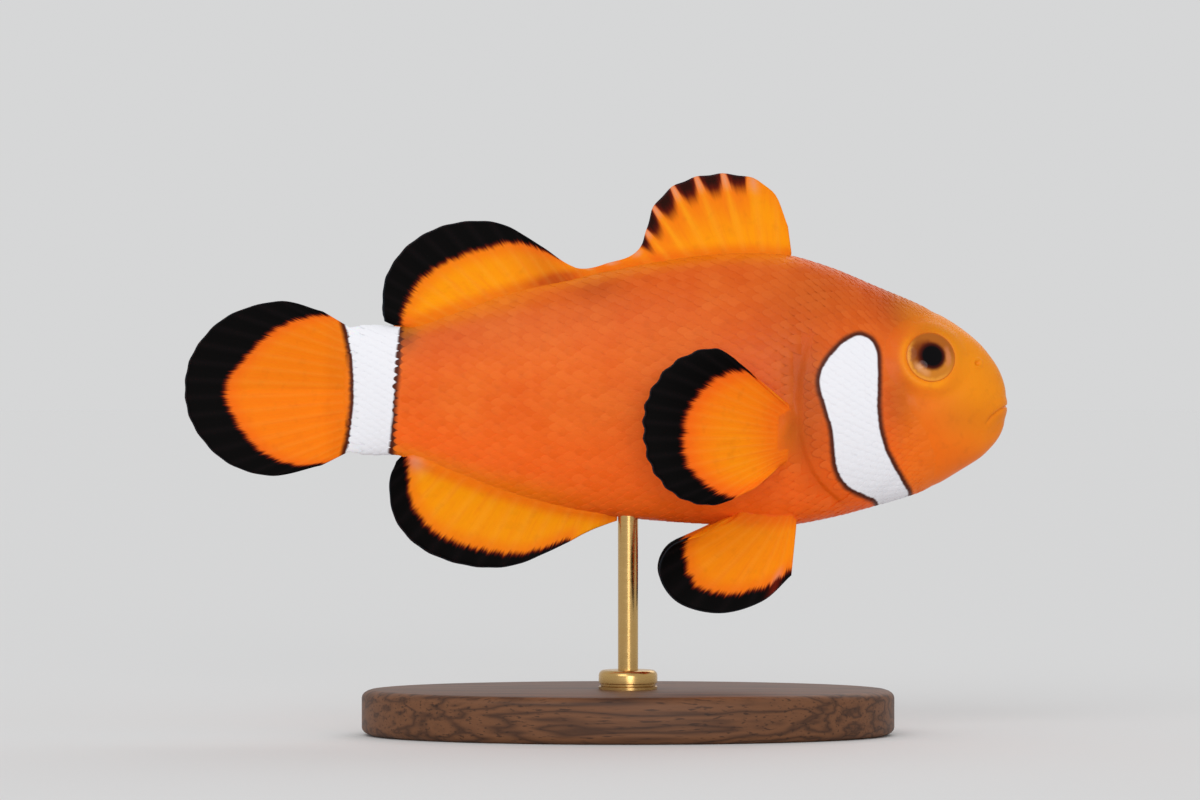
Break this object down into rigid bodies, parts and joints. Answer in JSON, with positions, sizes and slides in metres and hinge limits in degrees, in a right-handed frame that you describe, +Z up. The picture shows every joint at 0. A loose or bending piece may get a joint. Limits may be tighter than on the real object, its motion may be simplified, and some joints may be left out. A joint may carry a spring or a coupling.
{
  "type": "clownfish model",
  "caption": "Life-size orange clownfish swimming level, with white bars and black-edged fins, held above an oval display base by a rod.",
  "frame": {"origin": "on the underside of the stand's base, straight below the middle of the whole fish", "axes": "+X the way the fish swims, +Y to the fish's left, +Z up"},
  "size_m": [0.0896, 0.036, 0.0612],
  "materials": {
    "orange_skin": "scaled skin with a wet gloss",
    "white_skin": "scaled skin with a wet gloss",
    "amber_fin": "thin rayed fin with a black margin",
    "eye": "clear and polished",
    "walnut": "satin lacquer",
    "brass": "polished"
  },
  "bodies": {
    "root": {"head": "orange_skin", "lower_jaw": "orange_skin", "gill_cover_left": "white_skin", "gill_cover_right": "white_skin", "trunk": "orange_skin", "tail_stalk": "white_skin", "dorsal_fin_front": "amber_fin", "dorsal_fin_rear": "amber_fin", "anal_fin": "amber_fin", "tail_fin": "amber_fin", "pectoral_fin_left": "amber_fin", "pectoral_fin_right": "amber_fin", "pelvic_fin_left": "amber_fin", "pelvic_fin_right": "amber_fin", "eye_left": "eye", "eye_right": "eye", "stand_base": "walnut", "stand_collar": "brass", "stand_rod": "brass"}
  },
  "joints": []
}
